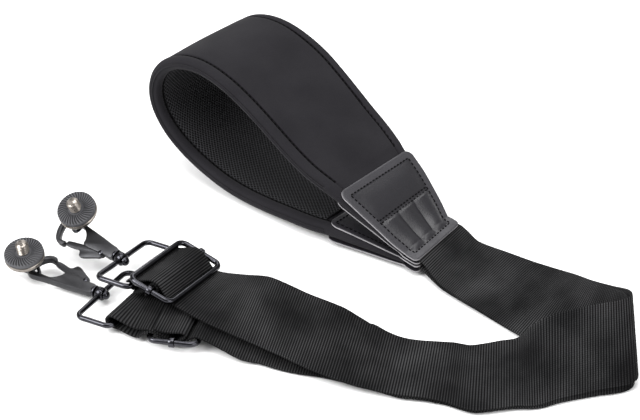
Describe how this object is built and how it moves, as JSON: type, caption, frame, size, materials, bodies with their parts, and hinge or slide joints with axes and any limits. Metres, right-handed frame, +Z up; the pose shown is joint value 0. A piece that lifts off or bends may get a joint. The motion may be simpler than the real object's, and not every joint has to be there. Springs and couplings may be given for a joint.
{
  "type": "camera neck strap",
  "caption": "Neck strap laid in a loose loop: folded padded band, doubled webbing with wire sliders and rings, swivel snap hooks, disc adapters with camera screws.",
  "frame": {"origin": "on the table, under the middle of the laid strap's bounding box", "axes": "+Z up from the table, +X to the right in the picture, +Y away from the camera"},
  "size_m": [0.2904, 0.2602, 0.0715],
  "materials": {
    "neoprene": "smooth laminated knit over foam",
    "mesh": "ribbed spacer mesh",
    "leather": "embossed and satin, light cut edges",
    "webbing": "coarse ribbed weave",
    "black_metal": "gloss black plated wire and die casting",
    "rubber": "matt, with swirling radial ribs",
    "steel": "bright machined"
  },
  "bodies": {
    "strap": {"pad_shell": "neoprene", "pad_mesh_lining": "mesh", "upper_patch_outer": "leather", "upper_patch_inner": "leather", "lower_patch_outer": "leather", "lower_patch_inner": "leather", "webbing_upper": "webbing", "webbing_lower": "webbing", "slider_front": "black_metal", "slider_front_bar": "black_metal", "slider_rear": "black_metal", "slider_rear_bar": "black_metal", "ring_front": "black_metal", "ring_rear": "black_metal"},
    "snap_front": {"hook_front": "black_metal", "dring_front": "black_metal"},
    "lever_front": {"gate_front": "black_metal"},
    "adapter_front": {"disc_front": "steel", "disc_pad_front": "rubber", "screw_front": "steel"},
    "snap_rear": {"hook_rear": "black_metal", "dring_rear": "black_metal"},
    "lever_rear": {"gate_rear": "black_metal"},
    "adapter_rear": {"disc_rear": "steel", "disc_pad_rear": "rubber", "screw_rear": "steel"}
  },
  "joints": [
    {"name": "swivel_front", "type": "hinge", "parent": "strap", "child": "snap_front", "pos_m": [-0.09021, -0.02116, 0.01137], "axis": [-0.71, 0.7, 0.077], "continuous": true},
    {"name": "lever_hinge_front", "type": "hinge", "parent": "snap_front", "child": "lever_front", "pos_m": [-0.09976, -0.01588, 0.01047], "axis": [-0.3034, -0.4028, 0.8635], "range_deg": [-20, 0], "stiffness_Nm_per_rad": 0.01, "springref_deg": 5.73},
    {"name": "adapter_tilt_front", "type": "hinge", "parent": "snap_front", "child": "adapter_front", "pos_m": [-0.11101, 0.00285, 0.02057], "axis": [0.6437, 0.6007, 0.4741], "range_deg": [-20, 20]},
    {"name": "swivel_rear", "type": "hinge", "parent": "strap", "child": "snap_rear", "pos_m": [-0.09882, -0.03995, 0.00427], "axis": [-0.8685, 0.4953, 0.02], "continuous": true},
    {"name": "lever_hinge_rear", "type": "hinge", "parent": "snap_rear", "child": "lever_rear", "pos_m": [-0.10619, -0.03191, 0.00515], "axis": [0.0814, 0.1822, -0.9799], "range_deg": [-20, 0], "stiffness_Nm_per_rad": 0.01, "springref_deg": 5.73},
    {"name": "adapter_tilt_rear", "type": "hinge", "parent": "snap_rear", "child": "adapter_rear", "pos_m": [-0.13523, -0.02039, 0.00961], "axis": [-0.8704, 0.4909, 0.0371], "range_deg": [-20, 20]}
  ]
}
